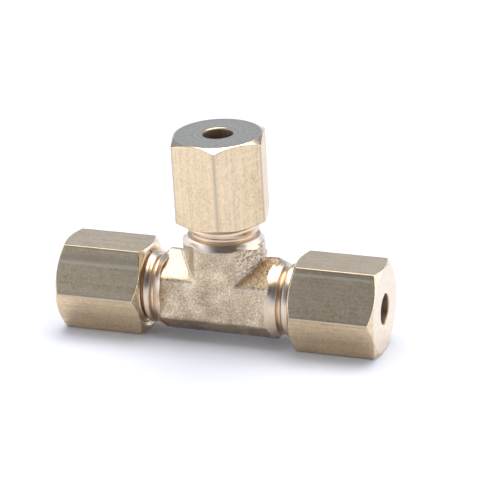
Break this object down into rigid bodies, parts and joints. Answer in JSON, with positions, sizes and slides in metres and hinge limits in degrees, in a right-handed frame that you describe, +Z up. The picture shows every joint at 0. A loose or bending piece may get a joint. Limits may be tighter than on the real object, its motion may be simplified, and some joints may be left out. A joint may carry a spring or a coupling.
{
  "type": "compression fitting",
  "caption": "Brass union tee for small tube: a forged body with a hexagon nut and a sleeve at each port.",
  "frame": {"origin": "the point under the crossing of the run and branch axes, on the plane that the lower flats of the two run nuts rest on", "axes": "+X along the run towards the right port, +Z up along the branch, +Y across the body, away from the front flat face"},
  "size_m": [0.0356, 0.011, 0.0229],
  "materials": {
    "forged_brass": "forged and blasted skin, fine sparkly grain; turned necks and threads bright",
    "machined_brass": "satin drawn hexagon bar with fine lines along it and turned end faces",
    "sleeve_brass": "bright turned brass"
  },
  "bodies": {
    "tee_body": {"tee_body": "forged_brass"},
    "left_sleeve": {"left_sleeve": "sleeve_brass"},
    "left_nut": {"left_nut": "machined_brass"},
    "right_sleeve": {"right_sleeve": "sleeve_brass"},
    "right_nut": {"right_nut": "machined_brass"},
    "branch_sleeve": {"branch_sleeve": "sleeve_brass"},
    "branch_nut": {"branch_nut": "machined_brass"}
  },
  "joints": [
    {"name": "left_sleeve_slide", "type": "slide", "parent": "tee_body", "child": "left_sleeve", "axis": [-1, 0, 0], "range_m": [0, 0.00476]},
    {"name": "left_nut_turn", "type": "hinge", "parent": "left_sleeve", "child": "left_nut", "pos_m": [0, 0, 0.00476], "axis": [-1, 0, 0], "range_deg": [0, 1620]},
    {"name": "right_sleeve_slide", "type": "slide", "parent": "tee_body", "child": "right_sleeve", "axis": [1, 0, 0], "range_m": [0, 0.00476]},
    {"name": "right_nut_turn", "type": "hinge", "parent": "right_sleeve", "child": "right_nut", "pos_m": [0, 0, 0.00476], "axis": [1, 0, 0], "range_deg": [0, 1620]},
    {"name": "branch_sleeve_slide", "type": "slide", "parent": "tee_body", "child": "branch_sleeve", "axis": [0, 0, 1], "range_m": [0, 0.0045]},
    {"name": "branch_nut_turn", "type": "hinge", "parent": "branch_sleeve", "child": "branch_nut", "pos_m": [0, 0, 0.00476], "axis": [0, 0, 1], "range_deg": [0, 1530]}
  ],
  "couplings": [
    {"joint": "left_nut_turn", "follows": "left_sleeve_slide", "rad_per_m": 5936.9},
    {"joint": "right_nut_turn", "follows": "right_sleeve_slide", "rad_per_m": 5936.9},
    {"joint": "branch_nut_turn", "follows": "branch_sleeve_slide", "rad_per_m": 5936.9}
  ]
}
